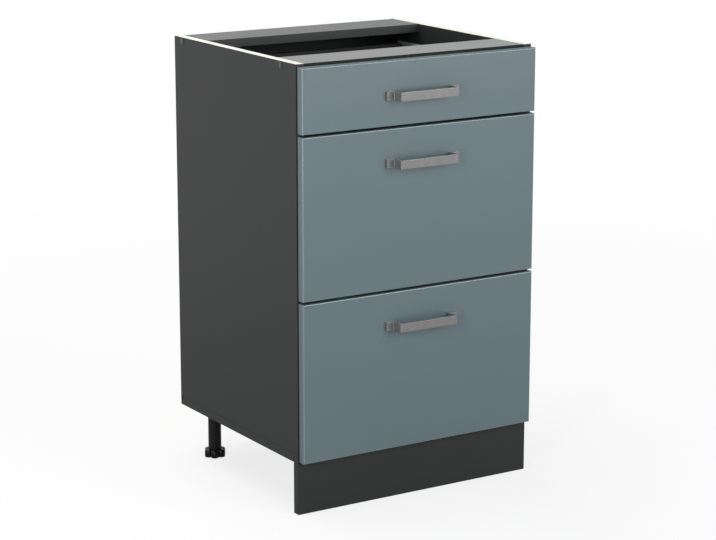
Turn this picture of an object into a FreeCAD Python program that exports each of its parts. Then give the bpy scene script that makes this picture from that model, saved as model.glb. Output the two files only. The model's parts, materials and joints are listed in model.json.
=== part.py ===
import FreeCAD, Part
import math
import os

# Kitchen base cabinet with one shallow and two deep drawers, in millimetres.
# X runs from the left side (-) to the right side (+) as seen from the front,
# Y runs from the front (-) to the back (+), and Z runs up from the floor.

Vector = FreeCAD.Vector
RIGHT = Vector(1, 0, 0)
BACK = Vector(0, 1, 0)
UP = Vector(0, 0, 1)

# Carcass: the boards of the fixed box
cabinet_width = 500.0
carcass_height = 720.0
carcass_depth = 447.0
plinth_height = 96.0
board_thickness = 16.0
board_edge_radius = 0.6
cut_overrun = 1.0
front_rail_depth = 90.0
rear_rail_depth = 94.0
plinth_top_gap = 0.5

# Back panel, held in grooves of the sides and of the bottom panel
back_panel_thickness = 3.0
back_panel_setback = 3.5
back_panel_drop = 2.0
groove_depth = 6.0
groove_clearance = 0.1
groove_end_clearance = 0.5

# Drawer fronts
front_thickness = 16.0
front_standoff = 1.5
front_side_reveal = 1.75
front_top_reveal = 5.0
front_bottom_reveal = 3.0
front_gap = 4.0
top_front_height = 117.0
front_arris_radius = 2.5

# Bumpers on the front edges of the sides
bumper_radius = 4.0
bumper_end_inset = 20.0

# Bow handles, bent from flat bar with a tab at each end
handle_bar_length = 124.0
handle_tab_length = 15.0
handle_projection = 28.0
handle_strip = 5.0
handle_height = 16.0
handle_bend_radius = 1.5
handle_corner_radius = 3.0
handle_edge_radius = 0.7
handle_drop = 62.0
handle_screw_spacing = 128.0
handle_thread_floor = 0.8

# Drawer boxes: steel sides, base board and back board
drawer_lift = 17.0
drawer_side_clearance = 12.8
drawer_top_clearance = 21.0
deep_side_height = 150.0
drawer_rear_clearance = 42.0
drawer_held_length = 95.0
drawer_back_drop = 4.0
side_hem_width = 4.0
side_hem_depth = 6.0
side_ledge_width = 16.0
side_flange_width = 16.0
side_flange_margin = 9.0
side_fit = 0.5

# Runners, rollers and axles
steel_thickness = 1.2
bend_radius = 0.8
runner_setback = 2.0
runner_front_allowance = 14.0
runner_wall_gap = 1.8
rail_clearance = 1.5
rail_edge_gap = 2.0
rail_doubler_height = 11.0
roller_radius = 8.5
roller_width = 7.0
roller_clearance = 0.3
roller_chamfer = 0.6
roller_side_gap = 0.1
axle_radius = 2.5
axle_head_radius = 4.2
axle_head_thickness = 0.6
axle_shoulder_radius = 4.0
axle_shoulder = 1.3
stop_tab_height = 5.0

# Legs and their adjusting feet
leg_side_inset = 40.0
leg_front_inset = 45.0
leg_rear_inset = 61.0
leg_radius = 12.5
leg_rib_radius = 1.0
leg_rib_count = 12
leg_flange_radius = 28.0
leg_flange_thickness = 4.0
leg_screw_circle = 21.5
leg_gusset_height = 16.0
leg_gusset_thickness = 2.5
leg_gusset_rim = 4.0
foot_radius = 21.5
foot_height = 15.0
foot_lobe_radius = 7.5
foot_lobe_count = 6
foot_shoulder = 4.0
foot_stem_radius = 6.0
foot_stem_length = 58.0
foot_stem_clearance = 0.1
foot_stop_gap = 0.2
foot_travel = 20.0

# Clips that hold the plinth board on the front legs
clip_height = 14.0
clip_wall = 2.6
clip_plate_width = 30.0
clip_plate_height = 44.0
clip_plate_thickness = 3.0
clip_web_width = 12.0
clip_mouth_share = 0.8
clip_fit = 0.2
clip_screw_offset = 16.0

# Fasteners
screw_fit = 0.05
pilot_tip_room = 1.0
blind_hole_floor = 4.0
small_screw_radius = 1.75
small_head_radius = 3.5
small_head_height = 2.2
cross_recess_width = 0.9
cross_recess_depth = 1.1
runner_screw_radius = 2.5
runner_screw_head_radius = 4.0
handle_screw_radius = 2.0
handle_screw_hole_radius = 2.3
handle_head_radius = 4.0
handle_head_height = 2.4
carcass_screw_length = 50.0
carcass_head_radius = 5.0
carcass_head_height = 1.0
carcass_neck_radius = 3.5
carcass_neck_length = 14.0
carcass_core_radius = 2.5
carcass_socket_radius = 2.2
carcass_socket_depth = 3.6
cap_radius = 6.0
cap_thickness = 1.6
cap_stem_length = 3.2
dowel_radius = 4.0
dowel_length = 30.0
dowel_chamfer = 1.0
dowel_panel_depth = 11.0

# Where fasteners stand along the depth, from the front edge or from the back edge
front_rail_screw_inset = 51.0
front_rail_dowel_inset = 19.0
rear_rail_screw_inset = 31.0
rear_rail_dowel_inset = 78.0
bottom_screw_inset = 30.0
bottom_dowel_inset = 100.0
runner_first_hole = 37.0
runner_hole_pitch = 32.0
runner_rear_margin = 40.0
runner_pair_steps = 3
ledge_screw_inset = 50.0

# Levels and planes that follow from the sizes above
half_width = cabinet_width / 2
inner_x = half_width - board_thickness
floor_top = plinth_height + board_thickness
carcass_top = plinth_height + carcass_height
rail_underside = carcass_top - board_thickness
front_reach = front_standoff + front_thickness + handle_projection
back_edge_y = (carcass_depth + front_reach) / 2
front_edge_y = back_edge_y - carcass_depth
front_rear_y = front_edge_y - front_standoff
front_face_y = front_rear_y - front_thickness
back_panel_y = back_edge_y - back_panel_setback - back_panel_thickness
front_width = cabinet_width - 2 * front_side_reveal
deep_front_height = (carcass_height - front_top_reveal - front_bottom_reveal
                     - 2 * front_gap - top_front_height) / 2
hole_depth = board_thickness - blind_hole_floor
small_screw_length = hole_depth - pilot_tip_room

# Steel side of a drawer and the runner beside it, on the right side of the cabinet
side_outer_x = inner_x - drawer_side_clearance
side_inner_x = side_outer_x - steel_thickness
side_length = back_panel_y - front_rear_y - drawer_rear_clearance
drawer_travel = side_length - drawer_held_length
web_x = inner_x - steel_thickness
channel_tip_x = side_outer_x + runner_wall_gap
channel_half = roller_radius + roller_clearance + steel_thickness
roller_x = web_x - axle_shoulder - roller_side_gap - roller_width / 2
runner_front_y = front_edge_y + runner_setback
cabinet_roller_y = runner_front_y + runner_front_allowance
drawer_roller_y = front_rear_y + side_length - runner_front_allowance
runner_last_step = math.floor((runner_setback + side_length - runner_rear_margin
                               - runner_first_hole) / runner_hole_pitch)
runner_hole_insets = [runner_first_hole + runner_hole_pitch * step
                      for step in (0, runner_last_step - runner_pair_steps, runner_last_step)]


class Drawer:
    """Levels of one drawer, counted up from the lower edge of its front."""

    def __init__(self, name, front_bottom, front_height, side_height):
        self.name = name
        self.front_bottom = front_bottom
        self.front_top = front_bottom + front_height
        self.low = front_bottom + drawer_lift
        self.side_top = self.low + side_height
        self.base_bottom = self.low + steel_thickness
        self.base_top = self.base_bottom + board_thickness
        self.drawer_roller_z = self.low + channel_half
        self.rail_bottom = self.drawer_roller_z + channel_half + rail_clearance
        self.cabinet_roller_z = self.rail_bottom - roller_clearance - roller_radius
        self.handle_z = self.front_top - handle_drop


def list_drawers():
    bottom = plinth_height + front_bottom_reveal
    middle = bottom + deep_front_height + front_gap
    top = middle + deep_front_height + front_gap
    shallow_side = rail_underside - drawer_top_clearance - top - drawer_lift
    return [Drawer("top", top, top_front_height, shallow_side),
            Drawer("middle", middle, deep_front_height, deep_side_height),
            Drawer("bottom", bottom, deep_front_height, deep_side_height)]


drawers = list_drawers()


# Shapes that repeat

def block(x_range, y_range, z_range):
    """A box between two X, two Y and two Z values, in any order."""
    low = Vector(min(x_range), min(y_range), min(z_range))
    return Part.makeBox(abs(x_range[1] - x_range[0]), abs(y_range[1] - y_range[0]),
                        abs(z_range[1] - z_range[0]), low)


def one_solid(shape):
    """The single solid of a cut or a union, with split faces merged."""
    return shape.removeSplitter().Solids[0]


def mirrored(shape):
    """The same piece for the left side of the cabinet."""
    return shape.mirror(Vector(0, 0, 0), RIGHT)


def on_side(side, shape):
    return shape if side > 0 else mirrored(shape)


def aimed(shape, seat, direction):
    """A shape modelled pointing down from the origin, put at a seat and turned along a direction."""
    moved = shape.copy()
    moved.Placement = FreeCAD.Placement(seat, FreeCAD.Rotation(-UP, direction))
    return moved


def rounded_face(corners, to_space):
    """A flat face from corners (u, v, radius), with an arc at each corner that has a radius."""
    starts, ends, middles = [], [], []
    count = len(corners)
    for i, (u, v, radius) in enumerate(corners):
        corner = Vector(u, v, 0)
        before = Vector(*corners[i - 1][:2], 0) - corner
        after = Vector(*corners[(i + 1) % count][:2], 0) - corner
        before.normalize()
        after.normalize()
        half_angle = before.getAngle(after) / 2
        reach = radius / math.tan(half_angle)
        starts.append(corner + before * reach)
        ends.append(corner + after * reach)
        inward = before + after
        inward.normalize()
        middles.append(corner + inward * (radius / math.sin(half_angle) - radius))
    edges = []
    for i in range(count):
        if corners[i][2] > 0:
            arc = [to_space(p.x, p.y) for p in (starts[i], middles[i], ends[i])]
            edges.append(Part.Arc(*arc).toShape())
        run = [to_space(p.x, p.y) for p in (ends[i], starts[(i + 1) % count])]
        if (run[1] - run[0]).Length > 1e-6:
            edges.append(Part.LineSegment(*run).toShape())
    return Part.Face(Part.Wire(edges))


def bent_strip(path, thickness, radius, to_space, outer_radius=None):
    """The section of a strip whose middle line follows a path, with rounded bends."""
    if outer_radius is None:
        outer_radius = radius + thickness
    points = [Vector(u, v, 0) for u, v in path]
    runs = [(b - a).normalize() for a, b in zip(points, points[1:])]
    sides = {1: [], -1: []}
    for i, point in enumerate(points):
        first = runs[max(i - 1, 0)]
        last = runs[min(i, len(runs) - 1)]
        mitre = Vector(-first.y - last.y, first.x + last.x, 0)
        mitre.normalize()
        reach = thickness / 2 / mitre.dot(Vector(-first.y, first.x, 0))
        turn = first.x * last.y - first.y * last.x
        for side in (1, -1):
            if abs(turn) < 1e-9:
                corner_radius = 0.0
            else:
                corner_radius = radius if turn * side > 0 else outer_radius
            corner = point + mitre * (side * reach)
            sides[side].append((corner.x, corner.y, corner_radius))
    return rounded_face(sides[1] + sides[-1][::-1], to_space)


def revolved(profile):
    """A body of revolution about Z from corners (radius, height)."""
    points = [Vector(r, 0, z) for r, z in profile]
    face = Part.Face(Part.makePolygon(points + points[:1]))
    return face.revolve(Vector(0, 0, 0), UP, 360)


# Fasteners, all modelled pointing down with the seat of the head at the origin

def cross_recess(top, reach):
    arms = [block((-reach, reach), (-cross_recess_width / 2, cross_recess_width / 2),
                  (top, top - cross_recess_depth)),
            block((-cross_recess_width / 2, cross_recess_width / 2), (-reach, reach),
                  (top, top - cross_recess_depth))]
    return arms[0].fuse(arms[1])


def pan_screw(shank_radius, length, head_radius, head_height):
    shoulder = head_height / 2
    body = revolved([(0, head_height), (head_radius * 0.6, head_height),
                     (head_radius, shoulder), (head_radius, 0), (shank_radius, 0),
                     (shank_radius, shank_radius - length), (0, -length)])
    return one_solid(body.cut(cross_recess(head_height, head_radius * 0.55)))


def small_screw():
    return pan_screw(small_screw_radius, small_screw_length, small_head_radius,
                     small_head_height)


def small_pilot():
    return Part.makeCylinder(small_screw_radius + screw_fit, hole_depth,
                             Vector(0, 0, -hole_depth))


def runner_screw(extra):
    """Flat-head screw flush with the web of the runner; extra makes its hole."""
    head = runner_screw_head_radius + extra
    shank = runner_screw_radius + extra
    tip = -steel_thickness - hole_depth + (0 if extra else pilot_tip_room)
    return revolved([(0, 0), (head, 0), (shank, -steel_thickness), (shank, tip), (0, tip)])


def carcass_screw(extra):
    """Screw for board joints with a sunk head; extra makes its hole."""
    head = carcass_head_radius + extra
    neck = carcass_neck_radius + extra
    core = carcass_core_radius + extra
    head_end = -carcass_head_height - (carcass_head_radius - carcass_neck_radius)
    tip = -carcass_screw_length - (pilot_tip_room if extra else 0)
    body = revolved([(0, 0), (head, 0), (head, -carcass_head_height), (neck, head_end),
                     (neck, -carcass_neck_length), (core, -carcass_neck_length),
                     (core, tip + core), (0, tip)])
    if extra:
        return body
    socket = Part.makeCylinder(carcass_socket_radius, carcass_socket_depth,
                               Vector(0, 0, -carcass_socket_depth))
    return one_solid(body.cut(socket))


def cover_cap():
    rim = cap_thickness * 0.45
    stem = carcass_socket_radius - screw_fit
    return revolved([(0, cap_thickness), (cap_radius * 0.55, cap_thickness * 0.94),
                     (cap_radius * 0.88, cap_thickness * 0.74), (cap_radius, rim),
                     (cap_radius, 0), (stem, 0), (stem, -cap_stem_length),
                     (0, -cap_stem_length)])


def dowel(extra):
    """Wood dowel about its middle, lying along Z; extra makes its hole."""
    radius = dowel_radius + extra
    low = dowel_panel_depth - dowel_length - extra
    high = dowel_panel_depth + extra
    return revolved([(0, low), (radius - dowel_chamfer, low), (radius, low + dowel_chamfer),
                     (radius, high - dowel_chamfer), (radius - dowel_chamfer, high),
                     (0, high)])


def axle(shoulder_start, shaft_end, head_start):
    """Roller axle pointing down: flush end at the top, shoulder, shaft and riveted head."""
    return revolved([(0, 0), (axle_radius, 0), (axle_radius, -steel_thickness),
                     (axle_shoulder_radius, -steel_thickness),
                     (axle_shoulder_radius, shoulder_start), (axle_radius, shoulder_start),
                     (axle_radius, head_start), (axle_head_radius, head_start),
                     (axle_head_radius, shaft_end), (0, shaft_end)])


def roller():
    inner = axle_radius + screw_fit
    low, high = -roller_width / 2, roller_width / 2
    rim = roller_radius - roller_chamfer
    return revolved([(inner, low), (rim, low), (roller_radius, low + roller_chamfer),
                     (roller_radius, high - roller_chamfer), (rim, high), (inner, high)])


# Places of the fasteners: (seat, direction that the fastener points)

def rail_points(front_inset, rear_inset, at_x):
    """Places on both sides at the middle height of the top rails."""
    z = carcass_top - board_thickness / 2
    places = []
    for side in (-1, 1):
        for y in (front_edge_y + front_inset, back_edge_y - rear_inset):
            places.append((Vector(side * at_x, y, z), Vector(-side, 0, 0)))
    return places


def bottom_points(rows, z):
    """Places under the edges of both side panels, pointing up."""
    x = half_width - board_thickness / 2
    return [(Vector(side * x, y, z), UP) for side in (-1, 1) for y in rows]


def leg_places():
    """Centres of the legs by name of their corner."""
    rows = {"front": front_edge_y + leg_front_inset, "rear": back_edge_y - leg_rear_inset}
    columns = {"left": leg_side_inset - half_width, "right": half_width - leg_side_inset}
    return {f"{row}_{column}": Vector(columns[column], rows[row], 0)
            for row in rows for column in columns}


def leg_screw_points():
    places = []
    level = plinth_height - leg_flange_thickness
    for centre in leg_places().values():
        for k in range(4):
            angle = math.radians(45 + 90 * k)
            offset = Vector(math.cos(angle), math.sin(angle), 0) * leg_screw_circle
            places.append((centre + offset + UP * level, UP))
    return places


def clip_screw_points():
    places = []
    y = front_edge_y + board_thickness + clip_plate_thickness
    for column in ("left", "right"):
        x = leg_places()[f"front_{column}"].x
        for offset in (-clip_screw_offset, clip_screw_offset):
            places.append((Vector(x, y, plinth_height / 2 + offset), -BACK))
    return places


def runner_screw_points():
    places = []
    for drawer in drawers:
        for side in (-1, 1):
            for inset in runner_hole_insets:
                seat = Vector(side * web_x, front_edge_y + inset, drawer.drawer_roller_z)
                places.append((seat, Vector(side, 0, 0)))
    return places


def flange_screw_points(drawer, y, direction):
    """Two screws in the end flange of each steel side."""
    low = drawer.base_top + side_flange_margin
    high = drawer.side_top - side_hem_depth - side_flange_margin
    x = side_inner_x - side_flange_width / 2
    return [(Vector(side * x, y, z), direction) for side in (-1, 1) for z in (low, high)]


def front_flange_points(drawer):
    return flange_screw_points(drawer, front_rear_y + steel_thickness, -BACK)


def rear_flange_points(drawer):
    return flange_screw_points(drawer, front_rear_y + side_length, -BACK)


def ledge_screw_points(drawer):
    x = side_inner_x - side_ledge_width / 2
    rows = (front_rear_y + ledge_screw_inset, front_rear_y + side_length / 2,
            front_rear_y + side_length - ledge_screw_inset)
    return [(Vector(side * x, y, drawer.low), UP) for side in (-1, 1) for y in rows]


def handle_screw_points(drawer):
    x = handle_screw_spacing / 2
    return [(Vector(side * x, front_rear_y, drawer.handle_z), -BACK) for side in (-1, 1)]


def placed(shape, points):
    return [aimed(shape, seat, direction) for seat, direction in points]


def pilots(points, sunk=0.0):
    """Pilot holes for small screws that first pass a sheet or flange of a thickness."""
    return [aimed(small_pilot(), seat + direction * sunk, direction)
            for seat, direction in points]


rail_screws = rail_points(front_rail_screw_inset, rear_rail_screw_inset, half_width)
rail_dowels = rail_points(front_rail_dowel_inset, rear_rail_dowel_inset, inner_x)
bottom_screw_rows = (front_edge_y + bottom_screw_inset, (front_edge_y + back_edge_y) / 2,
                     back_edge_y - bottom_screw_inset)
bottom_dowel_rows = (front_edge_y + bottom_dowel_inset, back_edge_y - bottom_dowel_inset)
bottom_screws = bottom_points(bottom_screw_rows, plinth_height)
bottom_dowels = bottom_points(bottom_dowel_rows, floor_top)


def carcass_joint_holes():
    """Everything that is drilled for the screws and dowels between the boards."""
    return (placed(carcass_screw(screw_fit), rail_screws + bottom_screws)
            + placed(dowel(screw_fit), rail_dowels + bottom_dowels))


# Boards of the carcass

def eased_board(x_range, y_range, z_range, picks):
    """A board whose picked edges are slightly rounded; picks tests an edge's middle."""
    board = block(x_range, y_range, z_range)
    edges = [e for e in board.Edges if picks(e.BoundBox.Center)]
    return board.makeFillet(board_edge_radius, edges)


def side_panel(side):
    outer = side * half_width
    panel = eased_board((outer, side * inner_x), (front_edge_y, back_edge_y),
                        (floor_top, carcass_top),
                        lambda p: abs(p.y - front_edge_y) < board_edge_radius
                        and abs(p.z - (floor_top + carcass_top) / 2) < board_thickness)
    groove = block((side * (inner_x - cut_overrun), side * (inner_x + groove_depth)),
                   (back_panel_y - groove_clearance,
                    back_panel_y + back_panel_thickness + groove_clearance),
                   (floor_top - cut_overrun, carcass_top + cut_overrun))
    holes = placed(runner_screw(screw_fit), runner_screw_points())
    return one_solid(panel.cut([groove] + holes + carcass_joint_holes()))


def bottom_panel():
    middle_z = plinth_height + board_thickness / 2
    panel = eased_board((-half_width, half_width), (front_edge_y, back_edge_y),
                        (plinth_height, floor_top),
                        lambda p: abs(p.y - front_edge_y) < board_edge_radius
                        and abs(p.z - middle_z) > board_edge_radius)
    reach = inner_x + groove_depth
    groove = block((-reach, reach), (back_panel_y - groove_clearance,
                                     back_panel_y + back_panel_thickness + groove_clearance),
                   (floor_top - groove_depth, floor_top + cut_overrun))
    holes = carcass_joint_holes() + pilots(leg_screw_points(), leg_flange_thickness)
    return one_solid(panel.cut([groove] + holes))


def top_rail(y_start, depth):
    rail = block((-inner_x, inner_x), (y_start, y_start + depth), (rail_underside, carcass_top))
    return one_solid(rail.cut(carcass_joint_holes()))


def back_panel():
    reach = inner_x + groove_depth - groove_end_clearance
    return block((-reach, reach), (back_panel_y, back_panel_y + back_panel_thickness),
                 (floor_top - groove_depth + groove_end_clearance,
                  carcass_top - back_panel_drop))


def plinth_board():
    top = plinth_height - plinth_top_gap
    board = eased_board((-half_width, half_width), (front_edge_y, front_edge_y + board_thickness),
                        (0, top),
                        lambda p: abs(p.y - front_edge_y) < board_edge_radius)
    return one_solid(board.cut(pilots(clip_screw_points(), clip_plate_thickness)))


# Legs, feet and plinth clips

def leg(centre):
    bottom = foot_height + foot_stop_gap
    top = plinth_height
    column = Part.makeCylinder(leg_radius - leg_rib_radius / 2, top - bottom,
                               Vector(0, 0, bottom))
    parts = [Part.makeCylinder(leg_flange_radius, leg_flange_thickness,
                               Vector(0, 0, top - leg_flange_thickness))]
    for k in range(leg_rib_count):
        angle = 2 * math.pi * k / leg_rib_count
        reach = leg_radius - leg_rib_radius
        parts.append(Part.makeCylinder(leg_rib_radius, top - bottom,
                                       Vector(reach * math.cos(angle), reach * math.sin(angle),
                                              bottom)))
    for k in range(4):
        under = top - leg_flange_thickness
        rim = leg_flange_radius - leg_gusset_rim
        corners = [Vector(leg_radius - leg_rib_radius, 0, under - leg_gusset_height),
                   Vector(rim, 0, under), Vector(leg_radius - leg_rib_radius, 0, under)]
        gusset = Part.Face(Part.makePolygon(corners + corners[:1]))
        gusset = gusset.extrude(BACK * leg_gusset_thickness)
        gusset.translate(BACK * (-leg_gusset_thickness / 2))
        parts.append(gusset.rotate(Vector(0, 0, 0), UP, 90 * k))
    bore = Part.makeCylinder(foot_stem_radius + foot_stem_clearance,
                             foot_stem_length + foot_stop_gap + pilot_tip_room,
                             Vector(0, 0, bottom))
    body = column.fuse(parts).cut(bore)
    body.translate(centre)
    holes = [Part.makeCylinder(small_screw_radius + screw_fit, leg_flange_thickness, seat)
             for seat, _ in leg_screw_points()]
    return one_solid(body.cut(holes))


def foot(centre):
    """Lobed foot with its stem; the thread of the stem is left plain."""
    lobe_circle = foot_radius - foot_lobe_radius
    lobes = [Part.makeCylinder(foot_lobe_radius, foot_height,
                               Vector(lobe_circle * math.cos(2 * math.pi * k / foot_lobe_count),
                                      lobe_circle * math.sin(2 * math.pi * k / foot_lobe_count),
                                      0))
             for k in range(foot_lobe_count)]
    disc = Part.makeCylinder(lobe_circle, foot_height).fuse(lobes)
    chamfer = foot_shoulder / 4
    rounding = revolved([(0, 0), (foot_radius - chamfer, 0), (foot_radius, chamfer),
                         (foot_radius, foot_height - foot_shoulder),
                         (foot_radius - chamfer, foot_height - foot_shoulder / 2),
                         (foot_radius - foot_shoulder, foot_height), (0, foot_height)])
    stem = Part.makeCylinder(foot_stem_radius, foot_stem_length, Vector(0, 0, foot_height))
    body = disc.common(rounding).fuse(stem)
    body.translate(centre)
    return one_solid(body)


def plinth_clip(centre):
    """A plate on the plinth board, a web, and a ring that snaps on the leg from the front."""
    low = (plinth_height - clip_height) / 2
    inner = leg_radius + clip_fit
    outer = inner + clip_wall
    ring = Part.makeCylinder(outer, clip_height, Vector(0, 0, low))
    plate_y = front_edge_y + board_thickness - centre.y
    plate_front = plate_y + clip_plate_thickness
    middle = plinth_height / 2
    plate = block((-clip_plate_width / 2, clip_plate_width / 2), (plate_y, plate_front),
                  (middle - clip_plate_height / 2, middle + clip_plate_height / 2))
    web = block((-clip_web_width / 2, clip_web_width / 2), (plate_front, -inner),
                (low, low + clip_height))
    mouth = block((-inner * clip_mouth_share, inner * clip_mouth_share),
                  (0, outer + cut_overrun),
                  (low, low + clip_height))
    hole = Part.makeCylinder(inner, clip_height, Vector(0, 0, low))
    body = ring.fuse([plate, web]).cut([hole, mouth])
    body.translate(centre)
    holes = [Part.makeCylinder(small_screw_radius + screw_fit, clip_plate_thickness, seat, -BACK)
             for seat, _ in clip_screw_points()]
    return one_solid(body.cut(holes))


# Runners and drawers

def cabinet_runner(side, drawer):
    """Channel for the roller of the drawer side, with the cabinet roller at its open front."""
    middle = drawer.drawer_roller_z
    reach = channel_half - steel_thickness / 2
    web_middle = web_x + steel_thickness / 2
    section = bent_strip([(channel_tip_x, middle + reach), (web_middle, middle + reach),
                          (web_middle, middle - reach), (channel_tip_x, middle - reach)],
                         steel_thickness, bend_radius,
                         lambda u, v: Vector(u, runner_front_y, v))
    channel = section.extrude(BACK * side_length)
    roller_room = roller_radius + axle_shoulder_radius
    notch = block((channel_tip_x - cut_overrun, web_x),
                  (runner_front_y - cut_overrun, cabinet_roller_y + roller_room),
                  (middle, middle + channel_half + cut_overrun))
    stop_y = drawer_roller_y - drawer_travel - roller_radius - roller_clearance
    stop = block((channel_tip_x, web_x), (stop_y - steel_thickness, stop_y),
                 (middle + channel_half - steel_thickness,
                  middle + channel_half - steel_thickness - stop_tab_height))
    axle_hole = Part.makeCylinder(axle_radius + screw_fit, steel_thickness + 2 * cut_overrun,
                                  Vector(web_x - cut_overrun, cabinet_roller_y,
                                         drawer.cabinet_roller_z), RIGHT)
    screw_holes = placed(runner_screw(screw_fit), runner_screw_points())
    body = channel.cut(notch).fuse(stop).cut([axle_hole] + screw_holes)
    return on_side(side, one_solid(body))


def drawer_side(side, drawer):
    """Steel side: a hemmed wall with a ledge for the base, a running rail and end flanges."""
    wall_middle = side_outer_x - steel_thickness / 2
    hem_middle = side_outer_x - side_hem_width + steel_thickness / 2
    top = drawer.side_top - steel_thickness / 2
    section = bent_strip([(hem_middle, drawer.side_top - side_hem_depth), (hem_middle, top),
                          (wall_middle, top), (wall_middle, drawer.low + steel_thickness / 2),
                          (side_inner_x - side_ledge_width, drawer.low + steel_thickness / 2)],
                         steel_thickness, bend_radius / 2,
                         lambda u, v: Vector(u, front_rear_y, v))
    sheet = section.extrude(BACK * side_length)
    rail_middle = drawer.rail_bottom + steel_thickness / 2
    doubler_middle = side_outer_x + steel_thickness / 2
    rail = bent_strip([(doubler_middle, drawer.rail_bottom + rail_doubler_height),
                       (doubler_middle, rail_middle), (inner_x - rail_edge_gap, rail_middle)],
                      steel_thickness, bend_radius,
                      lambda u, v: Vector(u, front_rear_y + runner_setback, v))
    rail = rail.extrude(BACK * (side_length - 2 * runner_setback))
    flanges = []
    for y in (front_rear_y, front_rear_y + side_length - steel_thickness):
        flanges.append(block((side_inner_x - side_flange_width, side_inner_x),
                             (y, y + steel_thickness),
                             (drawer.base_top + side_fit,
                              drawer.side_top - side_hem_depth - steel_thickness)))
    axle_hole = Part.makeCylinder(axle_radius + screw_fit, steel_thickness + 2 * cut_overrun,
                                  Vector(side_inner_x - cut_overrun, drawer_roller_y,
                                         drawer.drawer_roller_z), RIGHT)
    points = (front_flange_points(drawer) + rear_flange_points(drawer)
              + ledge_screw_points(drawer))
    holes = [Part.makeCylinder(small_screw_radius + screw_fit, steel_thickness, seat, direction)
             for seat, direction in points]
    return on_side(side, one_solid(sheet.fuse([rail] + flanges).cut([axle_hole] + holes)))


def drawer_base(drawer):
    reach = side_inner_x - side_fit
    base = block((-reach, reach), (front_rear_y, front_rear_y + side_length),
                 (drawer.base_bottom, drawer.base_top))
    return one_solid(base.cut(pilots(ledge_screw_points(drawer), steel_thickness)))


def drawer_back(drawer):
    reach = side_outer_x - side_hem_width - side_fit
    rear = front_rear_y + side_length - steel_thickness
    back = block((-reach, reach), (rear - board_thickness, rear),
                 (drawer.base_top, drawer.side_top - drawer_back_drop))
    return one_solid(back.cut(pilots(rear_flange_points(drawer), steel_thickness)))


def drawer_front(drawer):
    front = block((-front_width / 2, front_width / 2), (front_face_y, front_rear_y),
                  (drawer.front_bottom, drawer.front_top))
    arrises = [e for e in front.Edges if abs(e.BoundBox.Center.y - front_face_y) < 1e-3]
    front = front.makeFillet(front_arris_radius, arrises)
    holes = [Part.makeCylinder(handle_screw_hole_radius, front_thickness, seat, direction)
             for seat, direction in handle_screw_points(drawer)]
    holes += pilots(front_flange_points(drawer), steel_thickness)
    return one_solid(front.cut(holes))


def handle(drawer):
    tab_y = front_face_y - handle_strip / 2
    bar_y = front_face_y - handle_projection + handle_strip / 2
    leg_x = (handle_bar_length - handle_strip) / 2
    end_x = handle_bar_length / 2 + handle_tab_length
    section = bent_strip([(-end_x, tab_y), (-leg_x, tab_y), (-leg_x, bar_y), (leg_x, bar_y),
                          (leg_x, tab_y), (end_x, tab_y)],
                         handle_strip, handle_bend_radius,
                         lambda u, v: Vector(u, v, drawer.handle_z - handle_height / 2),
                         handle_corner_radius)
    bar = section.extrude(UP * handle_height)
    rims = [e for e in bar.Edges
            if abs(abs(e.BoundBox.Center.z - drawer.handle_z) - handle_height / 2) < 1e-3]
    bar = bar.makeFillet(handle_edge_radius, rims)
    depth = handle_strip - handle_thread_floor
    holes = [Part.makeCylinder(handle_screw_radius + screw_fit, depth,
                               Vector(seat.x, front_face_y, seat.z), -BACK)
             for seat, _ in handle_screw_points(drawer)]
    return one_solid(bar.cut(holes))


def handle_screws(drawer):
    length = front_thickness + handle_strip - handle_thread_floor - pilot_tip_room
    screw = pan_screw(handle_screw_radius, length, handle_head_radius, handle_head_height)
    return placed(screw, handle_screw_points(drawer))


def drawer_screws(drawer):
    points = (front_flange_points(drawer) + rear_flange_points(drawer)
              + ledge_screw_points(drawer))
    return placed(small_screw(), points)


def cabinet_axle():
    """Pointing down from the outer face of the web."""
    start = -steel_thickness - axle_shoulder
    head = start - roller_width - 2 * roller_side_gap
    return axle(start, head - axle_head_thickness, head)


def drawer_axle():
    """Pointing down from the inner face of the drawer side."""
    start = side_inner_x - roller_x + roller_width / 2 + roller_side_gap
    head = start - roller_width - 2 * roller_side_gap
    return axle(start, head - axle_head_thickness, head)


def pair(shape, x, y, z, direction):
    """The same piece on both sides, pointing outward (+1) or inward (-1)."""
    return [aimed(shape, Vector(side * x, y, z), Vector(side * direction, 0, 0))
            for side in (-1, 1)]


def bumpers():
    x = half_width - board_thickness / 2
    discs = []
    for drawer in drawers:
        for z in (drawer.front_bottom + bumper_end_inset, drawer.front_top - bumper_end_inset):
            for side in (-1, 1):
                discs.append(Part.makeCylinder(bumper_radius, front_standoff,
                                               Vector(side * x, front_edge_y, z), -BACK))
    return discs


# The whole cabinet, node by node

pieces = {}


def add(name, *solids):
    pieces[name] = solids[0] if len(solids) == 1 else Part.makeCompound(list(solids))


sides = {"left": -1, "right": 1}

for name, side in sides.items():
    add(f"side_panel_{name}", side_panel(side))
add("bottom_panel", bottom_panel())
add("top_rail_front", top_rail(front_edge_y, front_rail_depth))
add("top_rail_rear", top_rail(back_panel_y - rear_rail_depth, rear_rail_depth))
add("back_panel", back_panel())
add("plinth_board", plinth_board())
add("plinth_clips", *[plinth_clip(leg_places()[f"front_{name}"]) for name in sides])
add("carcass_screws", *placed(carcass_screw(0), rail_screws + bottom_screws))
add("screw_caps", *placed(cover_cap(), rail_screws))
add("wood_dowels", *placed(dowel(0), rail_dowels + bottom_dowels))
add("leg_columns", *[leg(centre) for centre in leg_places().values()])
add("leg_screws", *placed(small_screw(), leg_screw_points() + clip_screw_points()))
add("runner_screws", *placed(runner_screw(0), runner_screw_points()))
add("front_bumpers", *bumpers())
for name, centre in leg_places().items():
    add(f"foot_{name}", foot(centre))

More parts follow.
